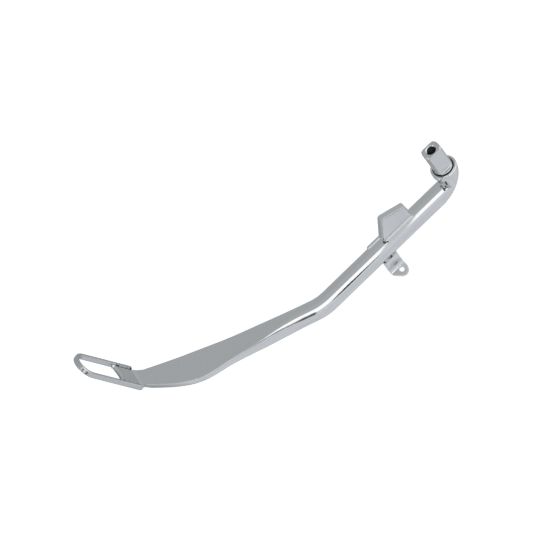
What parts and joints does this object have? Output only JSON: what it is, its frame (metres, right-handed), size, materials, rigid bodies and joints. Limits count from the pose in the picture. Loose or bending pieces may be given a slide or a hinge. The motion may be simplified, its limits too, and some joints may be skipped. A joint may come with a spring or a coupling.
{
  "type": "motorcycle kickstand",
  "caption": "Chrome motorcycle kickstand: flatted pivot shank with a tapped end, and a round leg that swings round it, with a stop tab, a spring tab and a loop-shaped foot.",
  "frame": {"origin": "centre of the pivot shank's end face, at the mouth of its tapped hole", "axes": "+Z out of the tapped end along the pivot axis; +X from the foot towards the pivot; the straight leg lies along X"},
  "size_m": [0.3725, 0.1236, 0.1025],
  "materials": {
    "chrome": "polished plating",
    "shank_plating": "satin plating on the flats",
    "weld": "rippled weld bead under the plating",
    "washer_steel": "satin",
    "ring_steel": "oiled spring steel",
    "bush_bronze": "sintered bronze",
    "seal_rubber": "matt black"
  },
  "bodies": {
    "shank": {"pivot_shank": "shank_plating", "snap_ring": "ring_steel"},
    "leg": {"thrust_washer": "washer_steel", "pivot_bush": "bush_bronze", "dust_seal": "seal_rubber", "pivot_boss": "chrome", "leg_bar": "chrome", "foot_loop": "chrome", "stop_tab": "chrome", "spring_tab": "chrome", "stop_weld_near": "weld", "stop_weld_far": "weld", "spring_weld_near": "weld", "spring_weld_far": "weld", "foot_weld_near": "weld", "foot_weld_far": "weld", "boss_weld": "weld"}
  },
  "joints": [
    {"name": "leg_swing", "type": "hinge", "parent": "shank", "child": "leg", "pos_m": [0, 0, 0], "axis": [0, 0, 1], "range_deg": [0, 100]}
  ]
}
